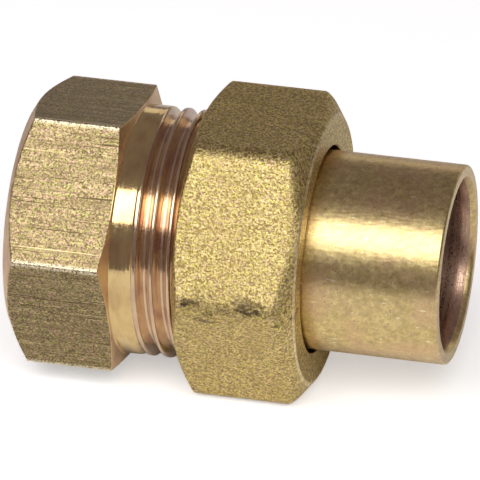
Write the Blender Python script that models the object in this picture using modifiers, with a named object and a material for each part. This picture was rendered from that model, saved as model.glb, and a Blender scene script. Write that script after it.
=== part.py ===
"""A brass pipe union: a threaded body, a union nut, a fibre washer and a solder tail.

The bore axis lies along world X, with the female pipe thread at -X and the solder socket at +X.
The hexes have flats facing up and down (+Z and -Z). The world origin is the middle of the union.
Every piece is modelled in the frame of one empty, whose local Z is the bore axis. A height there
is the distance from the threaded end, and every size is in metres.
"""

from math import ceil, cos, floor, pi, radians, sin, tan

import bmesh
import bpy

MM = 0.001
STEPS = 36  # facets around every turned form, and around each turn of a thread
EDGE_STEPS = 4  # facets around each rounded edge of the nut

# Running clearances and the gap left between two faces that meet
FACE_GAP = 0.3 * MM
THREAD_CLEARANCE = 0.15 * MM  # nut thread over body thread, square to each surface
FLANGE_CLEARANCE = 0.25 * MM  # flange through the nut's thread
HOLE_CLEARANCE = 0.6 * MM  # tail tube through the nut's hole

# Solder tail
SOCKET = 22.1 * MM  # takes 22 mm copper tube
SOCKET_DEPTH = 17.5 * MM
SOCKET_CHAMFER = 0.65 * MM
STOP_WIDTH = 1.05 * MM  # the step that the tube stops on
TAIL_WALL = 2.2 * MM
TAIL_LENGTH = 23.5 * MM  # flange face to open end
TAIL_EDGE = 0.4 * MM
FLANGE_BEARING = 1.05 * MM  # how far the flange reaches past the nut's hole
FLANGE_THICKNESS = 2.4 * MM

# Sealing washer
WASHER_THICKNESS = 2.0 * MM
WASHER_INSET = 0.3 * MM  # inside the flange's edge, and outside the waterway

# Threads, both of the 55 degree parallel pipe form
UNION_PITCH = 2.309 * MM
PIPE_PITCH = 1.814 * MM
PIPE_MAJOR = 26.44 * MM
PIPE_DEPTH = 14.0 * MM
THREAD_DEPTH = 0.6403  # of the pitch
FLANK_ANGLE = radians(27.5)
THREAD_TURN = radians(3)  # keeps the facets of a thread clear of those of the cylinder it is on

# Threaded body
BODY_LENGTH = 31.6 * MM
BODY_TURN = radians(-8.75)  # the hex against the nut's, as the nut happens to be tightened
BODY_FLAT_RISE = 0.37 * MM  # hex flats above the neck
BODY_HEX_LENGTH = 13.7 * MM  # threaded end to the hex's far corners
BODY_END_INSET = 1.2 * MM  # end circle inside the flats
BODY_END_SLOPE = radians(30)
SHOULDER_SLOPE = radians(15)
NECK_LENGTH = 3.0 * MM
BODY_LEAD = 1.2 * MM  # chamfer where the nut starts
PIPE_MOUTH = 0.6 * MM  # mouth of the pipe thread, past its major radius

# Union nut
NUT_WALL = 1.87 * MM  # union thread's major radius to the flats
NUT_LENGTH = 16.4 * MM
NUT_EDGE_RADIUS = 3.0 * MM  # along the forged hex's six edges
NUT_COLLAR = 2.9 * MM  # thickness of the wall that pulls on the flange
NUT_RELIEF = 3.8 * MM  # smooth chamber between the thread and the collar
NUT_END_INSET = 0.3 * MM  # threaded end's circle inside the flats
NUT_END_SLOPE = radians(25)
NUT_MOUTH = 0.4 * MM
RIM_INSET = 0.7 * MM  # rim circle on the collar, inside the flats
RIM_DROP = 0.8 * MM  # rim to the foot of its steep side
RIM_FOOT = 0.15 * MM  # that foot outside the flats
RIM_EDGE = 0.15 * MM
COLLAR_SLOPE = radians(35)

# Worked out from the sizes above
HEX_CORNER = 1 / cos(pi / 6)
MARGIN = 0.5 * MM  # how far a helper form runs past what it cuts or trims
SOCKET_RADIUS = SOCKET / 2
WATERWAY_RADIUS = SOCKET_RADIUS - STOP_WIDTH
TAIL_RADIUS = SOCKET_RADIUS + TAIL_WALL
HOLE_RADIUS = TAIL_RADIUS + HOLE_CLEARANCE
FLANGE_RADIUS = HOLE_RADIUS + FLANGE_BEARING
UNION_MINOR_RADIUS = FLANGE_RADIUS + FLANGE_CLEARANCE
UNION_MAJOR_RADIUS = UNION_MINOR_RADIUS + THREAD_DEPTH * UNION_PITCH
PIPE_MAJOR_RADIUS = PIPE_MAJOR / 2
PIPE_MINOR_RADIUS = PIPE_MAJOR_RADIUS - THREAD_DEPTH * PIPE_PITCH
BODY_FLAT_RADIUS = UNION_MAJOR_RADIUS + BODY_FLAT_RISE
NUT_FLAT_RADIUS = UNION_MAJOR_RADIUS + NUT_WALL

WASHER_START = BODY_LENGTH + FACE_GAP
TAIL_START = WASHER_START + WASHER_THICKNESS + FACE_GAP
FLANGE_END = TAIL_START + FLANGE_THICKNESS
LENGTH = TAIL_START + TAIL_LENGTH
COLLAR_START = FLANGE_END + FACE_GAP
NUT_END = COLLAR_START + NUT_COLLAR
NUT_START = NUT_END - NUT_LENGTH


def clear_scene():
    for obj in list(bpy.data.objects):
        bpy.data.objects.remove(obj, do_unlink=True)


def collection_named(name):
    collection = bpy.data.collections.new(name)
    bpy.context.scene.collection.children.link(collection)
    return collection


def material(name, colour, roughness, metallic):
    made = bpy.data.materials.new(name)
    made.use_nodes = True
    shader = made.node_tree.nodes["Principled BSDF"]
    shader.inputs["Base Color"].default_value = (*colour, 1.0)
    shader.inputs["Roughness"].default_value = roughness
    shader.inputs["Metallic"].default_value = metallic
    return made


def smooth_by_angle(limit):
    """A node group that shades every edge smooth except those that turn by more than the limit."""
    group = bpy.data.node_groups.new("smooth_by_angle", "GeometryNodeTree")
    group.interface.new_socket("Geometry", in_out="INPUT", socket_type="NodeSocketGeometry")
    group.interface.new_socket("Geometry", in_out="OUTPUT", socket_type="NodeSocketGeometry")
    start = group.nodes.new("NodeGroupInput")
    faces = group.nodes.new("GeometryNodeSetShadeSmooth")
    edges = group.nodes.new("GeometryNodeSetShadeSmooth")
    edges.domain = "EDGE"
    angle = group.nodes.new("GeometryNodeInputMeshEdgeAngle")
    gentle = group.nodes.new("FunctionNodeCompare")
    gentle.operation = "LESS_THAN"
    gentle.inputs["B"].default_value = limit
    end = group.nodes.new("NodeGroupOutput")
    group.links.new(start.outputs["Geometry"], faces.inputs["Geometry"])
    group.links.new(faces.outputs["Geometry"], edges.inputs["Geometry"])
    group.links.new(angle.outputs["Unsigned Angle"], gentle.inputs["A"])
    group.links.new(gentle.outputs["Result"], edges.inputs["Shade Smooth"])
    group.links.new(edges.outputs["Geometry"], end.inputs["Geometry"])
    return group


def add_object(name, mesh, collection, axis):
    obj = bpy.data.objects.new(name, mesh)
    obj.parent = axis
    collection.objects.link(obj)
    return obj


def turned(name, outline, collection, axis, bored=False):
    """A turned form from (radius, height) points, outer side top to bottom. Bored closes the outline."""
    mesh = bpy.data.meshes.new(name)
    edges = [(i, i + 1) for i in range(len(outline) - 1)]
    if bored:
        edges.append((len(outline) - 1, 0))
    mesh.from_pydata([(radius, 0.0, height) for radius, height in outline], edges, [])
    obj = add_object(name, mesh, collection, axis)
    spin = obj.modifiers.new("turn", "SCREW")
    spin.axis = "Z"
    spin.steps = STEPS
    spin.render_steps = STEPS
    spin.use_merge_vertices = True
    spin.merge_threshold = 1e-6
    return obj


def hexagon(name, flat_radius, bottom, top, collection, axis, edge_radius=0.0):
    """A hexagonal bar with two corners on world Y, so that two flats face up and down."""
    form = bmesh.new()
    corner = flat_radius * HEX_CORNER
    bmesh.ops.create_cone(
        form, cap_ends=True, segments=6, radius1=corner, radius2=corner, depth=top - bottom
    )
    bmesh.ops.translate(form, verts=form.verts, vec=(0, 0, (top + bottom) / 2))
    if edge_radius:
        sides = [edge for edge in form.edges if edge.verts[0].co.xy == edge.verts[1].co.xy]
        setback = edge_radius * tan(pi / 6)
        bmesh.ops.bevel(
            form,
            geom=sides,
            offset=setback,
            offset_type="OFFSET",
            segments=EDGE_STEPS,
            profile=0.5,
            affect="EDGES",
        )
    mesh = bpy.data.meshes.new(name)
    form.to_mesh(mesh)
    form.free()
    return add_object(name, mesh, collection, axis)


def thread_ridge(name, minor, major, pitch, bottom, top, collection, axis, clearance=0.0, crest=0.0):
    """A right-hand thread's ridge between two heights, rooted below the minor radius.

    Clearance makes it fatter all round, for cutting a nut. Crest makes it only taller.
    """
    outer = major + clearance + crest
    root = minor - MARGIN
    middle = (minor + major) / 2

    def half_width(radius):
        return pitch / 4 + (middle - radius) * tan(FLANK_ANGLE) + clearance / cos(FLANK_ANGLE)

    foot = pitch * 0.49
    foot_radius = outer - (foot - half_width(outer)) / tan(FLANK_ANGLE)
    rise = pitch / STEPS
    first_step = floor(bottom / rise)
    steps = ceil(top / rise) - first_step
    turn = THREAD_TURN + first_step * 2 * pi / STEPS
    outline = ((outer, half_width(outer)), (foot_radius, foot), (root, foot))
    corners = [*outline, *((radius, -height) for radius, height in reversed(outline))]
    form = bmesh.new()
    points = [(r * cos(turn), r * sin(turn), first_step * rise + height) for r, height in corners]
    tooth = form.faces.new([form.verts.new(point) for point in points])
    bmesh.ops.spin(
        form,
        geom=[tooth],
        cent=(0, 0, 0),
        axis=(0, 0, 1),
        dvec=(0, 0, rise),
        angle=steps * 2 * pi / STEPS,
        steps=steps,
        use_duplicate=False,
    )
    bmesh.ops.recalc_face_normals(form, faces=form.faces)
    mesh = bpy.data.meshes.new(name)
    form.to_mesh(mesh)
    form.free()
    return add_object(name, mesh, collection, axis)


def combine(target, tool, operation):
    step = target.modifiers.new(f"{operation.lower()} {tool.name}", "BOOLEAN")
    step.operation = operation
    step.solver = "EXACT"
    step.object = tool
    tool.display_type = "WIRE"
    tool.hide_render = True


def finish(obj, made, smooth):
    obj.data.materials.append(made)
    shade = obj.modifiers.new("smooth by angle", "NODES")
    shade.node_group = smooth
    return obj


def threaded_body(parts, cutters, axis):
    """The hex end with its pipe thread, the neck and the thread that the nut runs on."""
    corner = BODY_FLAT_RADIUS * HEX_CORNER
    outside = corner + MARGIN
    end_circle = BODY_FLAT_RADIUS - BODY_END_INSET
    neck = UNION_MAJOR_RADIUS
    shoulder_end = BODY_HEX_LENGTH + (corner - neck) * tan(SHOULDER_SLOPE)
    thread_start = shoulder_end + NECK_LENGTH
    body = turned(
        "threaded_body",
        [
            (0.0, BODY_LENGTH + MARGIN),
            (UNION_MINOR_RADIUS, BODY_LENGTH + MARGIN),
            (UNION_MINOR_RADIUS, thread_start),
            (neck + MARGIN, thread_start),
            (neck + MARGIN, shoulder_end + MARGIN / 2),
            (0.0, shoulder_end + MARGIN / 2),
        ],
        parts,
        axis,
    )
    hex_bar = hexagon("body_hex_bar", BODY_FLAT_RADIUS, -MARGIN, shoulder_end + MARGIN, cutters, axis)
    ridge = thread_ridge(
        "body_thread_ridge",
        UNION_MINOR_RADIUS,
        UNION_MAJOR_RADIUS,
        UNION_PITCH,
        thread_start - UNION_PITCH / 2,
        BODY_LENGTH + UNION_PITCH,
        cutters,
        axis,
        crest=MARGIN / 2,
    )
    envelope = turned(
        "body_envelope",
        [
            (0.0, BODY_LENGTH),
            (neck - BODY_LEAD, BODY_LENGTH),
            (neck, BODY_LENGTH - BODY_LEAD),
            (neck, shoulder_end),
            (outside, BODY_HEX_LENGTH - MARGIN * tan(SHOULDER_SLOPE)),
            (outside, (outside - end_circle) * tan(BODY_END_SLOPE)),
            (end_circle, 0.0),
            (0.0, 0.0),
        ],
        cutters,
        axis,
    )
    mouth = PIPE_MAJOR_RADIUS + PIPE_MOUTH
    bore = turned(
        "body_bore",
        [
            (0.0, BODY_LENGTH + MARGIN),
            (WATERWAY_RADIUS, BODY_LENGTH + MARGIN),
            (WATERWAY_RADIUS, PIPE_DEPTH + PIPE_MINOR_RADIUS - WATERWAY_RADIUS),
            (PIPE_MINOR_RADIUS, PIPE_DEPTH),
            (PIPE_MINOR_RADIUS, mouth - PIPE_MINOR_RADIUS),
            (mouth + MARGIN, -MARGIN),
            (0.0, -MARGIN),
        ],
        cutters,
        axis,
    )
    groove = thread_ridge(
        "body_pipe_thread",
        PIPE_MINOR_RADIUS,
        PIPE_MAJOR_RADIUS,
        PIPE_PITCH,
        -PIPE_PITCH,
        PIPE_DEPTH - PIPE_PITCH,
        cutters,
        axis,
    )
    hex_bar.rotation_euler.z = BODY_TURN
    combine(body, hex_bar, "UNION")
    combine(body, ridge, "UNION")
    combine(body, envelope, "INTERSECT")
    combine(body, bore, "DIFFERENCE")
    combine(body, groove, "DIFFERENCE")
    return body


def union_nut(parts, cutters, axis):
    """The hex nut: threaded inside at its -X end, with a collar that pulls on the tail's flange."""
    corner = NUT_FLAT_RADIUS * HEX_CORNER
    outside = corner + MARGIN
    end_circle = NUT_FLAT_RADIUS - NUT_END_INSET
    rim = NUT_FLAT_RADIUS - RIM_INSET
    foot = NUT_FLAT_RADIUS + RIM_FOOT
    foot_height = NUT_END - RIM_DROP
    bottom = NUT_START - MARGIN
    top = NUT_END + MARGIN
    nut = hexagon("union_nut", NUT_FLAT_RADIUS, bottom, top, parts, axis, NUT_EDGE_RADIUS)
    envelope = turned(
        "nut_envelope",
        [
            (0.0, NUT_END),
            (rim - RIM_EDGE, NUT_END),
            (rim, NUT_END - RIM_EDGE),
            (foot, foot_height),
            (outside, foot_height - (outside - foot) * tan(COLLAR_SLOPE)),
            (outside, NUT_START + (outside - end_circle) * tan(NUT_END_SLOPE)),
            (end_circle, NUT_START),
            (0.0, NUT_START),
        ],
        cutters,
        axis,
    )
    minor = UNION_MINOR_RADIUS + THREAD_CLEARANCE
    chamber = UNION_MAJOR_RADIUS + 2 * THREAD_CLEARANCE
    mouth = UNION_MAJOR_RADIUS + NUT_MOUTH
    thread_end = COLLAR_START - NUT_RELIEF
    bore = turned(
        "nut_bore",
        [
            (0.0, NUT_END + MARGIN),
            (HOLE_RADIUS, NUT_END + MARGIN),
            (HOLE_RADIUS, COLLAR_START),
            (chamber, COLLAR_START),
            (chamber, thread_end),
            (minor, thread_end - (chamber - minor)),
            (minor, NUT_START + mouth - minor),
            (mouth + MARGIN, NUT_START - MARGIN),
            (0.0, NUT_START - MARGIN),
        ],
        cutters,
        axis,
    )
    groove = thread_ridge(
        "nut_thread",
        UNION_MINOR_RADIUS,
        UNION_MAJOR_RADIUS,
        UNION_PITCH,
        NUT_START - UNION_PITCH,
        thread_end + NUT_RELIEF / 2,
        cutters,
        axis,
        clearance=THREAD_CLEARANCE,
    )
    combine(nut, envelope, "INTERSECT")
    combine(nut, bore, "DIFFERENCE")
    combine(nut, groove, "DIFFERENCE")
    return nut


def sealing_washer(parts, axis):
    """The flat ring that the nut squeezes between the body's end and the flange."""
    outer = FLANGE_RADIUS - WASHER_INSET
    inner = WATERWAY_RADIUS + WASHER_INSET
    top = WASHER_START + WASHER_THICKNESS
    outline = [(outer, top), (outer, WASHER_START), (inner, WASHER_START), (inner, top)]
    return turned("sealing_washer", outline, parts, axis, bored=True)


def solder_tail(parts, axis):
    """The tube that is soldered on: a flange inside the nut, and a socket for the copper tube."""
    socket_start = LENGTH - SOCKET_DEPTH
    outline = [
        (TAIL_RADIUS - TAIL_EDGE, LENGTH),
        (TAIL_RADIUS, LENGTH - TAIL_EDGE),
        (TAIL_RADIUS, FLANGE_END),
        (FLANGE_RADIUS, FLANGE_END),
        (FLANGE_RADIUS, TAIL_START),
        (WATERWAY_RADIUS, TAIL_START),
        (WATERWAY_RADIUS, socket_start),
        (SOCKET_RADIUS, socket_start),
        (SOCKET_RADIUS, LENGTH - SOCKET_CHAMFER),
        (SOCKET_RADIUS + SOCKET_CHAMFER, LENGTH),
    ]
    return turned("solder_tail", outline, parts, axis, bored=True)


def main():
    clear_scene()
    parts = collection_named("pipe_union")
    cutters = collection_named("cutters")
    cutters.hide_render = True
    axis = bpy.data.objects.new("bore_axis", None)
    axis.location = (-LENGTH / 2, 0.0, 0.0)
    axis.rotation_euler = (0.0, pi / 2, 0.0)
    parts.objects.link(axis)
    smooth = smooth_by_angle(radians(25))
    machined = material("machined_brass", (0.62, 0.47, 0.22), 0.22, 1.0)
    forged = material("forged_brass", (0.60, 0.44, 0.20), 0.42, 1.0)
    drawn = material("drawn_brass", (0.58, 0.46, 0.24), 0.28, 1.0)
    fibre = material("red_fibre", (0.32, 0.07, 0.04), 0.75, 0.0)
    finish(threaded_body(parts, cutters, axis), machined, smooth)
    finish(union_nut(parts, cutters, axis), forged, smooth)
    finish(sealing_washer(parts, axis), fibre, smooth)
    finish(solder_tail(parts, axis), drawn, smooth)


main()
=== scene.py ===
"""Looks of the pipe union: finely turned, threaded and forged skins in procedural brass.

Each piece is one skin of rings about the bore axis (world X). A ring's columns are angles about
that axis, counted from straight down towards +Y, which is how the CAD counts its threads.
"""

from math import cos, pi, radians, sin, tan

import bpy
import numpy as np
from mathutils import Matrix, Vector


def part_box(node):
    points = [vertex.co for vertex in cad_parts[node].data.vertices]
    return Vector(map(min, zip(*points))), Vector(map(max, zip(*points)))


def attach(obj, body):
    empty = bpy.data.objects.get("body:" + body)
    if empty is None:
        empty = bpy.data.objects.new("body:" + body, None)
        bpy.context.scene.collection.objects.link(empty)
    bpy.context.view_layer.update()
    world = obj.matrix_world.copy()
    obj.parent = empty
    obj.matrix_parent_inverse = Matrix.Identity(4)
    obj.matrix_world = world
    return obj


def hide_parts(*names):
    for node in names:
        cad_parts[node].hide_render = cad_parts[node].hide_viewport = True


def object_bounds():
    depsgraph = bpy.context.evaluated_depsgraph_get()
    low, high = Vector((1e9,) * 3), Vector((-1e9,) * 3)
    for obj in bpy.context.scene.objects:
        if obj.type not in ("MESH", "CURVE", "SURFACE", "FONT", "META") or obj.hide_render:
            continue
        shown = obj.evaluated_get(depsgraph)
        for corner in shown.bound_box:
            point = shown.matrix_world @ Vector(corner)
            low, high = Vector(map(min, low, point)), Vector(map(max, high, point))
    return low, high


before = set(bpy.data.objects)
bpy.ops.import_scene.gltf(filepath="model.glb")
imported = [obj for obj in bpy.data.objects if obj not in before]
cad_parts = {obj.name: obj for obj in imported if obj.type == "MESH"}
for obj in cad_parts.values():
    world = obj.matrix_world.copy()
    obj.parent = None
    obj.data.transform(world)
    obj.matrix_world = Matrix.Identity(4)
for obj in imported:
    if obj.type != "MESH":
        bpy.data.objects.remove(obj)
CAD_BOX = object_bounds()

MM = 0.001
HEX_CORNER = 1 / cos(pi / 6)  # a hexagon's corner radius over its flat's

# Places that come from the frame
BODY_LOW, BODY_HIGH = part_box("threaded_body")
NUT_LOW, NUT_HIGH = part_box("union_nut")
WASHER_LOW, WASHER_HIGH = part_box("sealing_washer")
TAIL_LOW, TAIL_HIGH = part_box("solder_tail")
FLOOR = CAD_BOX[0].z

# Threads, as the CAD has them. Their major sizes, like all sizes across the axis here, are radii.
UNION_PITCH = 2.309 * MM
UNION_MAJOR = 16.6285 * MM
PIPE_PITCH = 1.814 * MM
PIPE_MAJOR = 13.22 * MM
PIPE_DEPTH = 14.0 * MM
THREAD_DEPTH = 0.6403  # of the pitch
FLANK = radians(27.5)
THREAD_TURN = radians(3)  # where round the axis a crest meets the body's end face
THREAD_CLEARANCE = 0.15 * MM
THREAD_ROUND = 0.12 * MM

# Threaded body
BODY_FLAT = 17.0 * MM
BODY_TURN = radians(-8.75)  # its hex against the nut's
BODY_HEX_LENGTH = 13.7 * MM
BODY_END_INSET = 1.2 * MM  # the faced end's circle, inside the flats
BODY_END_SLOPE = radians(30)
SHOULDER_SLOPE = radians(15)
SHOULDER_FILLET = 0.2 * MM
NECK_LENGTH = 3.0 * MM
BODY_LEAD = 1.2 * MM  # chamfer where the nut starts
BODY_LEAD_EDGE = 0.15 * MM
BODY_EDGE = 0.25 * MM  # roundness of the drawn bar's edges
CONE_EDGE = 0.12 * MM  # roundness where a turned cone meets another surface
END_FACE_RING = 1.2 * MM  # where a ring divides the flat end face, below the thread's root
PIPE_MOUTH = 0.6 * MM
WATERWAY = 10.0 * MM

# Union nut
NUT_FLAT = NUT_HIGH.z
NUT_EDGE = 3.2 * MM  # roundness of the forged hex's edges
NUT_END_INSET = 0.3 * MM
NUT_END_SLOPE = radians(25)
NUT_END_EDGE = 0.3 * MM
NUT_COLLAR = 2.9 * MM
NUT_RELIEF = 3.8 * MM  # smooth chamber between the thread and the collar
NUT_MOUTH = 0.4 * MM
NUT_THREAD_EDGE = 0.1 * MM  # roundness where the thread meets its mouth and the chamber
RIM_RADIUS = NUT_FLAT - 0.7 * MM
RIM_EDGE = 0.15 * MM
RIM_DISH = 0.12 * MM  # how far the end face lies behind the rim
DOME_AT_FLAT = 1.9 * MM  # length of the forged collar's dome behind the rim
DOME_AT_CORNER = 2.6 * MM
DOME_TAPER = 0.3  # the share of the dome's fall that is straight, the rest being curved
HOLE = 13.85 * MM

# Solder tail and washer
SOCKET = 11.05 * MM
SOCKET_DEPTH = 17.5 * MM
SOCKET_CHAMFER = 0.65 * MM
SOCKET_FLARE = 2.2 * MM  # length over which the mouth opens
LIP = 0.42 * MM  # roundness of the tube's outer lip
LIP_INNER = 0.1 * MM
TUBE = 13.25 * MM
TUBE_FILLET = 0.3 * MM
FLANGE = TAIL_HIGH.z
FLANGE_THICKNESS = 2.4 * MM
FLANGE_EDGE = 0.2 * MM
WASHER_INNER = 10.3 * MM
WASHER_EDGE = 0.25 * MM

# How finely the skins are divided
COLUMNS = 270
CORNER_COLUMNS = (-0.8, -0.55, -0.3, 0.3, 0.55, 0.8)  # degrees from a crisp corner
TUBE_STEP = 0.8 * MM  # along plain cylinders
UNION_THREAD_STEP = 0.125 * MM
PIPE_THREAD_STEP = 0.15 * MM
NUT_THREAD_STEP = 0.1 * MM
DOME_STEP = 0.06 * MM


# ---------------------------------------------------------------- shapes


def column_angles(corners=()):
    """Evenly spaced angles, with closer ones about each corner so that its edge stays crisp."""
    angles = list(np.arange(COLUMNS) * 2 * pi / COLUMNS)
    for corner in corners:
        angles += [corner + radians(offset) for offset in CORNER_COLUMNS]
    return np.unique(np.round(np.mod(angles, 2 * pi), 6))


def steps(start, end, size):
    """Places from start to end, about size apart, ends included."""
    return np.linspace(start, end, max(2, int(round(abs(end - start) / size)) + 1))


def soft_min(a, b, reach):
    """The smaller of two values, with the corner between them rounded over reach."""
    return np.minimum(a, b) - np.maximum(reach - np.abs(a - b), 0) ** 2 / (4 * reach)


def soft_max(a, b, reach):
    return -soft_min(-a, -b, reach)


def hexagon(angles, flat, edge, turn=0.0):
    """Radius of a hexagonal bar with rounded edges, flats up and down before the turn."""
    away = np.abs(np.mod(angles - turn + pi / 6, pi / 3) - pi / 6)
    straight = flat / np.cos(away)
    middle = (flat - edge) * HEX_CORNER
    from_corner = pi / 6 - away
    round_part = middle * np.cos(from_corner) + np.sqrt(
        np.maximum(edge**2 - (middle * np.sin(from_corner)) ** 2, 0)
    )
    return np.where(flat * np.tan(away) <= (flat - edge) * tan(pi / 6), straight, round_part)


def thread(height, angles, major, pitch, clearance=0.0):
    """Radius of a right-hand pipe thread at a height, crest and root softened."""
    depth = THREAD_DEPTH * pitch
    turns = height / pitch - (angles - THREAD_TURN) / (2 * pi)
    away = np.abs(turns - np.round(turns)) * pitch
    flank = major - depth / 2 + (pitch / 4 + clearance / cos(FLANK) - away) / tan(FLANK)
    lowest = major - depth + clearance
    highest = major + clearance
    return soft_max(soft_min(flank, highest, THREAD_ROUND), lowest, THREAD_ROUND)


def blend(value, start, end):
    """Rises smoothly from 0 at start to 1 at end."""
    share = min(max((value - start) / (end - start), 0.0), 1.0)
    return share * share * (3 - 2 * share)


def arc(centre, radius, start, end, count):
    """(x, radius) places on an arc, angles in degrees from +X towards outwards."""
    turns = np.radians(np.linspace(start, end, count))
    return [(centre[0] + radius * cos(a), centre[1] + radius * sin(a)) for a in turns]


def skin(name, rings, angles):
    """A closed mesh from rings of (x, radius), which run out along +X and back through the bore."""
    count = len(angles)
    points = np.empty((len(rings), count, 3))
    for ring, (x, radius) in zip(points, rings):
        ring[:, 0] = x
        ring[:, 1] = radius * np.sin(angles)
        ring[:, 2] = -radius * np.cos(angles)
    index = np.arange(len(rings) * count).reshape(len(rings), count)
    along = np.roll(index, -1, axis=0)
    faces = np.stack(
        [index, np.roll(index, -1, axis=1), np.roll(along, -1, axis=1), along], axis=-1
    ).reshape(-1, 4)
    mesh = bpy.data.meshes.new(name)
    mesh.vertices.add(index.size)
    mesh.vertices.foreach_set("co", points.ravel())
    mesh.loops.add(faces.size)
    mesh.loops.foreach_set("vertex_index", faces.ravel())
    mesh.polygons.add(len(faces))
    mesh.polygons.foreach_set("loop_start", np.arange(len(faces)) * 4)
    mesh.update(calc_edges=True)
    mesh.shade_smooth()
    obj = bpy.data.objects.new(name, mesh)
    bpy.context.scene.collection.objects.link(obj)
    return obj


def body_skin():
    """Hex end, shoulder, neck and union thread outside; waterway and pipe thread inside."""
    start = BODY_LOW.x
    length = BODY_HIGH.x - start
    corner_radius = BODY_FLAT * HEX_CORNER
    end_circle = BODY_FLAT - BODY_END_INSET
    shoulder_end = BODY_HEX_LENGTH + (corner_radius - UNION_MAJOR) * tan(SHOULDER_SLOPE)
    thread_start = shoulder_end + NECK_LENGTH
    root = UNION_MAJOR - THREAD_DEPTH * UNION_PITCH
    angles = column_angles([BODY_TURN + pi / 6 + k * pi / 3 for k in range(6)])
    bar = hexagon(angles, BODY_FLAT, BODY_EDGE, BODY_TURN)

    def hex_ring(h):
        chamfer = end_circle + h / tan(BODY_END_SLOPE)
        shoulder = UNION_MAJOR + (shoulder_end - h) / tan(SHOULDER_SLOPE)
        return soft_min(soft_min(bar, chamfer, CONE_EDGE), shoulder, CONE_EDGE)

    def thread_ring(h):
        full = thread(h, angles, UNION_MAJOR, UNION_PITCH)
        cut = blend(h, thread_start - 0.4 * UNION_PITCH, thread_start + 0.5 * UNION_PITCH)
        lead = UNION_MAJOR - BODY_LEAD + (length - h)
        return soft_min(UNION_MAJOR + (full - UNION_MAJOR) * cut, lead, BODY_LEAD_EDGE)

    # Fine rings over the end chamfer, coarse ones along the bare hex, fine ones over the shoulder
    outside = []
    for h in [*steps(0, 2.6 * MM, 0.12 * MM), *steps(2.8 * MM, 13.2 * MM, 0.8 * MM)]:
        outside.append((h, hex_ring(h)))
    for h in steps(13.3 * MM, shoulder_end, 0.05 * MM):
        outside.append((h, soft_max(hex_ring(h), UNION_MAJOR, SHOULDER_FILLET)))
    for h in steps(shoulder_end + 0.05 * MM, thread_start - 1.0 * MM, 0.2 * MM):
        outside.append((h, np.full(len(angles), UNION_MAJOR)))
    for h in steps(thread_start - 0.95 * MM, length, UNION_THREAD_STEP):
        outside.append((h, thread_ring(h)))

    pipe_root = PIPE_MAJOR - THREAD_DEPTH * PIPE_PITCH
    mouth = PIPE_MAJOR + PIPE_MOUTH
    even = np.ones(len(angles))

    def pipe_ring(h):
        full = thread(h, angles, PIPE_MAJOR, PIPE_PITCH)
        cut = 1 - blend(h, PIPE_DEPTH - 1.6 * PIPE_PITCH, PIPE_DEPTH - 0.9 * PIPE_PITCH)
        return soft_max(pipe_root + (full - pipe_root) * cut, mouth - h, CONE_EDGE)

    inside = [
        (length, even * (root - END_FACE_RING)),
        (length, even * (WATERWAY + 0.3 * MM)),
        (length - 0.1 * MM, even * (WATERWAY + 0.08 * MM)),
        (length - 0.3 * MM, even * WATERWAY),
    ]
    cone_start = PIPE_DEPTH + pipe_root - WATERWAY
    for h in steps(length - 2 * MM, cone_start + 0.1 * MM, 2 * MM):
        inside.append((h, even * WATERWAY))
    for h in steps(cone_start, PIPE_DEPTH, 0.4 * MM):
        inside.append((h, even * (WATERWAY + cone_start - h)))
    for h in steps(PIPE_DEPTH - 0.1 * MM, 0, PIPE_THREAD_STEP):
        inside.append((h, pipe_ring(h)))
    rim = [(0.0, even * r) for r in steps(mouth + 0.2 * MM, end_circle - 0.15 * MM, 0.4 * MM)]
    rings = [(start + h, radius) for h, radius in outside + inside + rim]
    return skin("body_skin", rings, angles)


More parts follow.
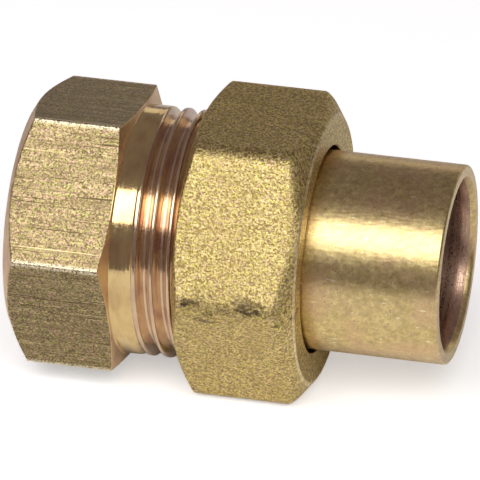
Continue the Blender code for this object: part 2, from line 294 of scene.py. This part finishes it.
def nut_skin():
    """Forged hex with soft edges and a domed collar outside; union thread and chamber inside."""
    start, end = NUT_LOW.x, NUT_HIGH.x
    angles = column_angles()
    bar = hexagon(angles, NUT_FLAT, NUT_EDGE)
    end_circle = NUT_FLAT - NUT_END_INSET
    even = np.ones(len(angles))

    corner = NUT_FLAT * HEX_CORNER
    towards_corner = (bar - NUT_FLAT) / (corner - NUT_FLAT)
    dome = DOME_AT_FLAT + (DOME_AT_CORNER - DOME_AT_FLAT) * towards_corner

    def outer(x):
        chamfer = end_circle + (x - start) / tan(NUT_END_SLOPE)
        share = np.clip(1 - (end - x) / dome, 0, 1)
        fall = DOME_TAPER * share + (1 - DOME_TAPER) * share**2
        domed = RIM_RADIUS + (bar - RIM_RADIUS) * (1 - fall)
        return soft_min(domed, chamfer, NUT_END_EDGE)

    # Fine rings over the end chamfer, coarse ones along the bare hex, fine ones over the dome
    outside = [(x, outer(x)) for x in steps(start, start + 2.4 * MM, 0.1 * MM)]
    outside += [(x, outer(x)) for x in steps(start + 2.8 * MM, end - 3.6 * MM, 0.45 * MM)]
    outside += [(x, outer(x)) for x in steps(end - 3.4 * MM, end - RIM_EDGE, DOME_STEP)]
    for turn in np.radians((30, 60, 90)):
        radius = RIM_RADIUS - RIM_EDGE * (1 - cos(turn))
        outside.append((end - RIM_EDGE + RIM_EDGE * sin(turn), even * radius))

    face = []
    for radius in steps(RIM_RADIUS - 0.3 * MM, HOLE + 0.25 * MM, 0.2 * MM):
        dish = RIM_DISH * blend(RIM_RADIUS - radius, 0.2 * MM, 0.9 * MM)
        face.append((end - dish, even * radius))
    face += [(end - 0.17 * MM, even * (HOLE + 0.08 * MM)), (end - 0.35 * MM, even * HOLE)]

    collar = end - NUT_COLLAR
    chamber = UNION_MAJOR + 2 * THREAD_CLEARANCE
    mouth = UNION_MAJOR + NUT_MOUTH
    thread_end = collar - NUT_RELIEF

    def inner(x):
        full = thread(x - BODY_LOW.x, angles, UNION_MAJOR, UNION_PITCH, THREAD_CLEARANCE)
        entry = mouth - (x - start)
        relief = chamber + (x - thread_end)
        opened = soft_max(full, entry, NUT_THREAD_EDGE)
        return soft_max(opened, np.minimum(relief, chamber), NUT_THREAD_EDGE)

    inside = [(collar, even * HOLE), (collar, even * chamber)]
    for x in steps(collar - 0.5 * MM, thread_end + 0.2 * MM, TUBE_STEP):
        inside.append((x, even * chamber))
    inside += [(x, inner(x)) for x in steps(thread_end, start, NUT_THREAD_STEP)]
    rim = [(start, even * r) for r in steps(mouth + 0.15 * MM, end_circle - 0.2 * MM, 0.3 * MM)]
    return skin("nut_skin", outside + face + inside + rim, angles)


def tail_skin():
    """Turned tube with a captive flange, a rounded lip and the socket for the copper tube."""
    start, end = TAIL_LOW.x, TAIL_HIGH.x
    back = start + FLANGE_THICKNESS
    socket = end - SOCKET_DEPTH
    mouth = SOCKET + SOCKET_CHAMFER
    flange_edge = FLANGE - FLANGE_EDGE
    outline = arc((start + FLANGE_EDGE, flange_edge), FLANGE_EDGE, 180, 90, 5)
    outline += arc((back - FLANGE_EDGE, flange_edge), FLANGE_EDGE, 90, 0, 5)
    outline += arc((back + TUBE_FILLET, TUBE + TUBE_FILLET), TUBE_FILLET, 180, 270, 5)
    outline += [(x, TUBE) for x in steps(back + 0.8 * MM, end - 1.0 * MM, TUBE_STEP)]
    outline += arc((end - LIP, TUBE - LIP), LIP, 90, 0, 8)
    outline += arc((end - LIP_INNER, mouth + LIP_INNER), LIP_INNER, 0, -75, 4)
    for share in np.linspace(0.08, 1, 12):
        flare = SOCKET_CHAMFER * (1 - share) ** 2
        outline.append((end - SOCKET_FLARE * share, SOCKET + flare))
    for x in steps(end - SOCKET_FLARE - 0.5 * MM, socket + 0.3 * MM, TUBE_STEP):
        outline.append((x, SOCKET))
    outline += [(socket, SOCKET), (socket, WATERWAY + 0.2 * MM), (socket - 0.2 * MM, WATERWAY)]
    outline += [(x, WATERWAY) for x in steps(socket - 0.8 * MM, start + 0.4 * MM, TUBE_STEP)]
    outline += [(start, WATERWAY + 0.2 * MM)]
    return skin("tail_skin", outline, column_angles())


def washer_skin():
    """Flat ring with softly pressed edges."""
    low, high = WASHER_LOW.x + WASHER_EDGE, WASHER_HIGH.x - WASHER_EDGE
    inner, outer = WASHER_INNER + WASHER_EDGE, WASHER_HIGH.z - WASHER_EDGE
    outline = arc((low, outer), WASHER_EDGE, 180, 90, 6)
    outline += arc((high, outer), WASHER_EDGE, 90, 0, 6)
    outline += arc((high, inner), WASHER_EDGE, 0, -90, 6)
    outline += arc((low, inner), WASHER_EDGE, 270, 180, 6)
    return skin("washer_skin", outline, column_angles())


# ---------------------------------------------------------------- materials


class Shader:
    """A material being made: short calls for the nodes that these metals share."""

    def __init__(self, name, metallic, roughness):
        self.material = bpy.data.materials.new(name)
        self.material.use_nodes = True
        self.nodes = self.material.node_tree.nodes
        self.links = self.material.node_tree.links
        self.surface = self.nodes["Principled BSDF"]
        self.surface.inputs["Metallic"].default_value = metallic
        self.surface.inputs["Roughness"].default_value = roughness
        self.place = self.nodes.new("ShaderNodeTexCoord").outputs["Object"]

    def node(self, kind, inputs=(), **settings):
        made = self.nodes.new(kind)
        for key, value in settings.items():
            setattr(made, key, value)
        for key, value in dict(inputs).items():
            if isinstance(value, bpy.types.NodeSocket):
                self.links.new(value, made.inputs[key])
            else:
                made.inputs[key].default_value = value
        return made

    def stretched(self, scale):
        """The object's own coordinates, stretched by a scale for each axis."""
        return self.node("ShaderNodeMapping", {"Vector": self.place, "Scale": scale}).outputs[0]

    def noise(self, size, detail=2.0, stretch=(1, 1, 1), rough=0.5):
        """Noise whose features are about size metres across, before any stretch."""
        inputs = {
            "Vector": self.stretched(stretch),
            "Scale": 1 / size,
            "Detail": detail,
            "Roughness": rough,
        }
        return self.node("ShaderNodeTexNoise", inputs).outputs["Fac"]

    def cells(self, size):
        """A random value for each of many small cells about size metres across."""
        made = self.node("ShaderNodeTexVoronoi", {"Vector": self.place, "Scale": 1 / size})
        split = self.node("ShaderNodeSeparateColor", {"Color": made.outputs["Color"]})
        return split.outputs["Red"]

    def speckle(self, cells, grain):
        """Half the cells' values and half the grain's, together from 0 to 1."""
        half_cells = self.band(cells, 0.0, 1.0, 0.0, 0.5)
        half_grain = self.band(grain, 0.36, 0.64, 0.0, 0.5)
        return self.math("ADD", half_cells, half_grain)

    def radius(self):
        """Distance from the bore axis."""
        inputs = {0: self.place, 1: (0, 1, 1)}
        across = self.node("ShaderNodeVectorMath", inputs, operation="MULTIPLY")
        length = self.node("ShaderNodeVectorMath", {0: across.outputs[0]}, operation="LENGTH")
        return length.outputs["Value"]

    def height(self):
        """Distance above or below the level of the bore axis."""
        z = self.node("ShaderNodeSeparateXYZ", {"Vector": self.place}).outputs["Z"]
        return self.node("ShaderNodeMath", {0: z}, operation="ABSOLUTE").outputs[0]

    def band(self, value, low, high, out_low=0.0, out_high=1.0):
        """The value spread from low..high to out_low..out_high, and kept inside."""
        inputs = {
            "Value": value,
            "From Min": low,
            "From Max": high,
            "To Min": out_low,
            "To Max": out_high,
        }
        return self.node("ShaderNodeMapRange", inputs).outputs["Result"]

    def mix(self, share, first, second):
        """A mix of two colours, each a socket or an RGB triple."""
        made = self.node("ShaderNodeMix", data_type="RGBA")
        for place, value in ((0, share), (6, first), (7, second)):
            if isinstance(value, bpy.types.NodeSocket):
                self.links.new(value, made.inputs[place])
            else:
                made.inputs[place].default_value = (*value, 1.0)
        return made.outputs[2]

    def math(self, operation, first, second):
        return self.node("ShaderNodeMath", {0: first, 1: second}, operation=operation).outputs[0]

    def bump(self, height, distance, over=None):
        inputs = {"Height": height, "Distance": distance}
        if over is not None:
            inputs["Normal"] = over
        return self.node("ShaderNodeBump", inputs).outputs["Normal"]

    def finish(self, colour, roughness, normal):
        self.links.new(colour, self.surface.inputs["Base Color"])
        self.links.new(roughness, self.surface.inputs["Roughness"])
        self.links.new(normal, self.surface.inputs["Normal"])
        return self.material


def drawn_hex_brass():
    """The body's hex: drawn bar, glittering with fine grain, scratched along its length, with a
    painted highlight along its corners.
    """
    s = Shader("drawn_hex_brass", 1.0, 0.4)
    glitter = s.cells(0.21 * MM)
    grain = s.noise(0.25 * MM, 2.0, rough=0.7)
    tint = s.noise(0.30 * MM, 1.0)
    scratches = s.noise(0.20 * MM, 2.0, stretch=(0.02, 1, 1), rough=0.6)
    scores = s.noise(0.26 * MM, 1.0, stretch=(0.012, 1.1, 1.1))
    streaks = s.noise(0.45 * MM, 2.0, stretch=(0.04, 1, 1))
    tip = BODY_FLAT * HEX_CORNER
    corner = s.band(s.radius(), tip - 0.34 * MM, tip - 0.12 * MM)
    speck = s.speckle(glitter, grain)
    pale = s.mix(s.band(tint, 0.40, 0.60), (0.80, 0.53, 0.36), (0.62, 0.58, 0.20))
    dull = s.mix(s.band(tint, 0.40, 0.60), (0.15, 0.095, 0.07), (0.12, 0.10, 0.03))
    speckled = s.mix(s.band(speck, 0.20, 0.88), dull, pale)
    streaked = s.mix(s.band(streaks, 0.42, 0.62, 0.0, 0.5), speckled, (0.22, 0.16, 0.075))
    scored = s.mix(s.band(scores, 0.70, 0.74, 0.0, 0.8), streaked, (0.85, 0.68, 0.36))
    scratched = s.mix(s.band(scratches, 0.60, 0.66, 0.0, 0.85), scored, (0.09, 0.055, 0.03))
    # painted highlight: near the hex's corners, where the grain allows, the colour is brightened to
    # near white
    corner_highlight = s.math("MULTIPLY", corner, s.band(grain, 0.38, 0.55))
    colour = s.mix(corner_highlight, scratched, (1.0, 0.88, 0.62))
    roughness = s.band(grain, 0.35, 0.65, 0.30, 0.44)
    normal = s.bump(grain, 0.05 * MM)
    normal = s.bump(scratches, 0.03 * MM, over=normal)
    return s.finish(colour, roughness, normal)


def turned_brass(name, gold, tarnished, roughness, lines):
    """Lathe-turned and polished: faint rings round the axis, and a little tarnish."""
    s = Shader(name, 1.0, roughness)
    rings = s.noise(0.16 * MM, 2.0, stretch=(1, 0.01, 0.01))
    tarnish = s.noise(1.6 * MM, 3.0, stretch=(1, 0.5, 0.5))
    fine = s.noise(0.25 * MM, 2.0)
    colour = s.mix(s.band(tarnish, 0.42, 0.66), gold, tarnished)
    rough = s.band(s.math("ADD", fine, rings), 0.8, 1.25, roughness * 0.7, roughness * 1.5)
    normal = s.bump(rings, lines)
    return s.finish(colour, rough, s.bump(fine, 0.0015 * MM, over=normal))


def forged_brass():
    """The nut: hot-forged and blasted, with sparkling grain and marks along its parting line."""
    s = Shader("forged_brass", 1.0, 0.42)
    glitter = s.cells(0.22 * MM)
    pits = s.noise(0.32 * MM, 2.5, rough=0.65)
    tint = s.noise(0.30 * MM, 1.0)
    cloud = s.noise(5.0 * MM, 2.0)
    trimmed = s.band(s.height(), 0.6 * MM, 3.4 * MM, 1.0, 0.0)
    marks = s.band(s.noise(1.5 * MM, 4.0, stretch=(0.45, 1, 1), rough=0.7), 0.54, 0.62)
    speck = s.speckle(glitter, pits)
    pale = s.mix(s.band(tint, 0.40, 0.60), (1.0, 0.78, 0.42), (0.92, 0.80, 0.24))
    dull = s.mix(s.band(tint, 0.40, 0.60), (0.36, 0.22, 0.13), (0.29, 0.22, 0.05))
    speckled = s.mix(s.band(speck, 0.24, 0.78), dull, pale)
    clouded = s.mix(s.band(cloud, 0.35, 0.65, 0.0, 0.3), speckled, (0.50, 0.36, 0.14))
    colour = s.mix(s.math("MULTIPLY", trimmed, marks), clouded, (0.10, 0.07, 0.04))
    roughness = s.band(pits, 0.35, 0.65, 0.36, 0.50)
    normal = s.bump(pits, 0.10 * MM)
    return s.finish(colour, roughness, s.bump(glitter, 0.010 * MM, over=normal))


def rim_highlight_brass():
    """The nut's rim: a painted highlight along its rounded edge, bright in patches of noise."""
    s = Shader("rim_highlight_brass", 1.0, 0.4)
    rim_sheen = s.noise(0.5 * MM, 3.0, rough=0.6)
    # painted highlight: the rim's colour runs from mid gold to near white, in place of the light
    # its rounded edge catches
    colour = s.mix(s.band(rim_sheen, 0.35, 0.65), (0.62, 0.48, 0.22), (1.0, 0.90, 0.62))
    return s.finish(colour, s.band(rim_sheen, 0.3, 0.7, 0.35, 0.6), s.bump(rim_sheen, 0.02 * MM))


def satin_brass():
    """The tail: drawn tube turned to size, satin, with handling marks and a few small nicks whose
    bright colour is a painted glint.
    """
    s = Shader("satin_brass", 1.0, 0.3)
    rings = s.noise(0.22 * MM, 2.0, stretch=(1, 0.02, 0.02))
    mottle = s.noise(0.9 * MM, 5.0, rough=0.65)
    fine = s.noise(0.28 * MM, 2.0, rough=0.6)
    cloud = s.noise(5.5 * MM, 2.0)
    tint = s.noise(0.5 * MM, 1.0)
    nicks_and_glints = s.noise(0.9 * MM, 0.0, stretch=(0.7, 2.6, 1.8))
    pits = s.noise(0.45 * MM, 1.0)
    gold = s.mix(s.band(mottle, 0.36, 0.64), (0.64, 0.49, 0.21), (0.97, 0.79, 0.37))
    warm = s.mix(s.band(cloud, 0.46, 0.66, 0.0, 0.6), gold, (0.86, 0.58, 0.34))
    tinted = s.mix(s.band(tint, 0.50, 0.66, 0.0, 0.35), warm, (0.62, 0.41, 0.32))
    grained = s.mix(s.band(fine, 0.40, 0.62, 0.0, 0.35), tinted, (0.52, 0.38, 0.14))
    pitted = s.mix(s.band(pits, 0.74, 0.77, 0.0, 0.7), grained, (0.16, 0.10, 0.05))
    # painted glints: where the stretched noise peaks, small bright flecks go into the colour; the
    # same noise bumps them as nicks
    colour = s.mix(s.band(nicks_and_glints, 0.80, 0.815), pitted, (1.0, 0.88, 0.58))
    roughness = s.band(mottle, 0.30, 0.70, 0.27, 0.34)
    normal = s.bump(rings, 0.002 * MM)
    normal = s.bump(mottle, 0.006 * MM, over=normal)
    normal = s.bump(nicks_and_glints, 0.012 * MM, over=normal)
    return s.finish(colour, roughness, s.bump(fine, 0.002 * MM, over=normal))


def red_fibre():
    """The washer: pressed vulcanised fibre, matte and finely flecked."""
    s = Shader("red_fibre", 0.0, 0.75)
    flecks = s.noise(0.35 * MM, 4.0, stretch=(1.5, 0.6, 1), rough=0.7)
    cloud = s.noise(3.0 * MM, 2.0)
    red = s.mix(s.band(cloud, 0.35, 0.65), (0.27, 0.055, 0.035), (0.36, 0.085, 0.05))
    colour = s.mix(s.band(flecks, 0.55, 0.70, 0.0, 0.7), red, (0.50, 0.22, 0.15))
    roughness = s.band(flecks, 0.3, 0.7, 0.66, 0.85)
    return s.finish(colour, roughness, s.bump(flecks, 0.03 * MM))


def assign(obj, whole, others=()):
    """Gives a skin one material, and others to the faces that each test of (x, radius) picks."""
    obj.data.materials.append(whole)
    mesh = obj.data
    centres = np.empty(len(mesh.polygons) * 3)
    mesh.polygons.foreach_get("center", centres)
    centres = centres.reshape(-1, 3)
    x, radius = centres[:, 0], np.hypot(centres[:, 1], centres[:, 2])
    chosen = np.zeros(len(mesh.polygons), np.int32)
    for slot, (made, test) in enumerate(others, start=1):
        mesh.materials.append(made)
        chosen[test(x, radius)] = slot
    mesh.polygons.foreach_set("material_index", chosen)


# ---------------------------------------------------------------- pieces


def place(obj, node, body, slot):
    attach(obj, body)
    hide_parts(node)


def on_cone(x, r):
    """Whether places on the body lie on its end chamfer or its shoulder, both lathe-faced."""
    height = x - BODY_LOW.x
    chamfer = BODY_FLAT - BODY_END_INSET + height / tan(BODY_END_SLOPE)
    shoulder_end = BODY_HEX_LENGTH + (BODY_FLAT * HEX_CORNER - UNION_MAJOR) * tan(SHOULDER_SLOPE)
    shoulder = UNION_MAJOR + (shoulder_end - height) / tan(SHOULDER_SLOPE)
    outside = (r > PIPE_MAJOR + 1.0 * MM) & (height < shoulder_end + 0.02 * MM)
    on_chamfer = r > chamfer - CONE_EDGE
    on_shoulder = (r > shoulder - CONE_EDGE) & (r > UNION_MAJOR + 0.1 * MM)
    return outside & (on_chamfer | on_shoulder)


def on_flats(x, r):
    """Whether places on the body lie on its hex."""
    return (x < BODY_LOW.x + BODY_HEX_LENGTH + 0.6 * MM) & (r > BODY_FLAT - 0.05 * MM)


def on_body_thread(x, r):
    neck_end = BODY_LOW.x + BODY_HEX_LENGTH + NECK_LENGTH + 0.8 * MM
    return (x > neck_end) & (r > PIPE_MAJOR)


def in_body_bore(x, r):
    return r < PIPE_MAJOR + 0.1 * MM


def on_nut_rim(x, r):
    return (x > NUT_HIGH.x - 0.22 * MM) & (r > RIM_RADIUS - 0.22 * MM)


def in_nut(x, r):
    return (x < NUT_HIGH.x - 0.6 * MM) & (r < UNION_MAJOR + 0.45 * MM)


def in_tail_bore(x, r):
    return (x < TAIL_HIGH.x - 0.3 * MM) & (r < SOCKET + 0.3 * MM)


def make_pieces():
    turned = turned_brass("turned_brass", (0.86, 0.65, 0.30), (0.72, 0.49, 0.23), 0.12, 0.0025 * MM)
    cut = turned_brass("cut_brass", (0.80, 0.62, 0.42), (0.66, 0.46, 0.34), 0.16, 0.004 * MM)
    # painted shade: the bores get a rougher, darker, browner brass than the outside, in place of
    # the shade inside them
    shaded_bore = turned_brass("shaded_bore_brass", (0.58, 0.39, 0.28), (0.42, 0.27, 0.20), 0.36, 0.006 * MM)
    faced = turned_brass("faced_brass", (0.86, 0.64, 0.40), (0.74, 0.50, 0.33), 0.42, 0.008 * MM)

    body = body_skin()
    flats = (drawn_hex_brass(), on_flats)
    threads = (cut, on_body_thread)
    # the pipe thread's bore gets the darker brass of painted shade
    assign(body, turned, [flats, (faced, on_cone), threads, (shaded_bore, in_body_bore)])
    place(body, "threaded_body", "body", "machined_brass")

    nut = nut_skin()
    # the nut's rim gets a material with a painted highlight
    assign(nut, forged_brass(), [(rim_highlight_brass(), on_nut_rim), (cut, in_nut)])
    place(nut, "union_nut", "nut", "forged_brass")

    tail = tail_skin()
    # the socket's bore gets the same darker brass of painted shade
    assign(tail, satin_brass(), [(shaded_bore, in_tail_bore)])
    place(tail, "solder_tail", "tail", "drawn_brass")

    washer = washer_skin()
    assign(washer, red_fibre())
    place(washer, "sealing_washer", "washer", "red_fibre")


# ---------------------------------------------------------------- stage

CAMERA_AZIMUTH = radians(13.6)
CAMERA_ELEVATION = radians(27.5)
CAMERA_ROLL = radians(0.27)
CAMERA_DISTANCE = 0.802
FRAME_WIDTH = 63.6 * MM  # what the picture spans at that distance
AIM = Vector((-0.65 * MM, 0, -0.06 * MM))

# The floor's reach in metres, towards the front, the back and each side
FLOOR_NEAR = -0.10
FLOOR_FAR = 0.60
FLOOR_SIDE = 0.40
FLOOR_GLOW = 0.45

# The room that the brass reflects where no lamp shows in it
ROOM_COLOUR = (0.60, 0.51, 0.54, 1)
ROOM_STRENGTH = 0.30


def towards(azimuth, elevation):
    """Unit vector from the object towards a place round it. Azimuth 0 is the front, at -Y."""
    return Vector((sin(azimuth) * cos(elevation), -cos(azimuth) * cos(elevation), sin(elevation)))


def facing(direction):
    """Rotation that turns an object's +Z to the direction."""
    return direction.to_track_quat("Z", "Y")


def make_camera():
    data = bpy.data.cameras.new("camera")
    data.sensor_width = 36
    data.lens = data.sensor_width * CAMERA_DISTANCE / FRAME_WIDTH
    data.clip_start, data.clip_end = 0.01, 20
    camera = bpy.data.objects.new("camera", data)
    back = towards(CAMERA_AZIMUTH, CAMERA_ELEVATION)
    camera.rotation_mode = "QUATERNION"
    camera.rotation_quaternion = facing(back) @ Matrix.Rotation(CAMERA_ROLL, 3, "Z").to_quaternion()
    camera.location = AIM + back * CAMERA_DISTANCE
    bpy.context.scene.collection.objects.link(camera)
    bpy.context.scene.camera = camera


def softbox(name, elevation, distance, size, strength, azimuth=0, colour=(1, 1, 1)):
    """A rectangular lamp that faces the object. Its strength is the radiance of its surface."""
    width, height = size
    data = bpy.data.lights.new(name, "AREA")
    data.shape = "RECTANGLE"
    data.size, data.size_y = width, height
    data.energy = strength * width * height * pi
    data.color = colour
    lamp = bpy.data.objects.new(name, data)
    direction = towards(radians(azimuth), radians(elevation))
    lamp.rotation_mode = "QUATERNION"
    lamp.rotation_quaternion = facing(direction)
    lamp.location = direction * distance
    lamp.visible_camera = False
    bpy.context.scene.collection.objects.link(lamp)
    return lamp


def make_floor():
    """A plain pale sheet. Its faint glow reaches the camera only, and whitens the ground."""
    mesh = bpy.data.meshes.new("floor")
    near, far, side = FLOOR_NEAR, FLOOR_FAR, FLOOR_SIDE
    corners = [(-side, near, FLOOR), (side, near, FLOOR), (side, far, FLOOR), (-side, far, FLOOR)]
    mesh.from_pydata(corners, [], [(0, 1, 2, 3)])
    floor = bpy.data.objects.new("floor", mesh)
    paper = bpy.data.materials.new("pale_paper")
    paper.use_nodes = True
    nodes, links = paper.node_tree.nodes, paper.node_tree.links
    surface = nodes["Principled BSDF"]
    surface.inputs["Base Color"].default_value = (0.90, 0.90, 0.90, 1)
    surface.inputs["Roughness"].default_value = 0.9
    surface.inputs["Specular IOR Level"].default_value = 0.1
    surface.inputs["Emission Color"].default_value = (1, 1, 1, 1)
    rays = nodes.new("ShaderNodeLightPath")
    glow = nodes.new("ShaderNodeMath")
    glow.operation = "MULTIPLY"
    glow.inputs[1].default_value = FLOOR_GLOW
    links.new(rays.outputs["Is Camera Ray"], glow.inputs[0])
    links.new(glow.outputs[0], surface.inputs["Emission Strength"])
    mesh.materials.append(paper)
    bpy.context.scene.collection.objects.link(floor)


def make_world():
    """A white backdrop for the camera, and a dim studio for everything else."""
    world = bpy.data.worlds.new("studio")
    bpy.context.scene.world = world
    world.use_nodes = True
    nodes, links = world.node_tree.nodes, world.node_tree.links
    room = nodes["Background"]
    room.inputs["Color"].default_value = ROOM_COLOUR
    room.inputs["Strength"].default_value = ROOM_STRENGTH
    backdrop = nodes.new("ShaderNodeBackground")
    backdrop.inputs["Color"].default_value = (1, 1, 1, 1)
    rays = nodes.new("ShaderNodeLightPath")
    mix = nodes.new("ShaderNodeMixShader")
    links.new(rays.outputs["Is Camera Ray"], mix.inputs[0])
    links.new(room.outputs[0], mix.inputs[1])
    links.new(backdrop.outputs[0], mix.inputs[2])
    links.new(mix.outputs[0], nodes["World Output"].inputs["Surface"])


def make_stage():
    make_world()
    make_floor()
    softbox("front_softbox", 46, 0.70, (1.0, 0.38), 3.1)
    softbox("back_card", 12, 0.70, (1.0, 0.16), 0.55, azimuth=180, colour=(1, 0.93, 0.72))
    wash = softbox("floor_wash", 50, 0.40, (0.6, 0.4), 0.8)
    wash.visible_glossy = False
    bpy.context.scene.view_settings.view_transform = "Standard"


make_pieces()
make_camera()
make_stage()
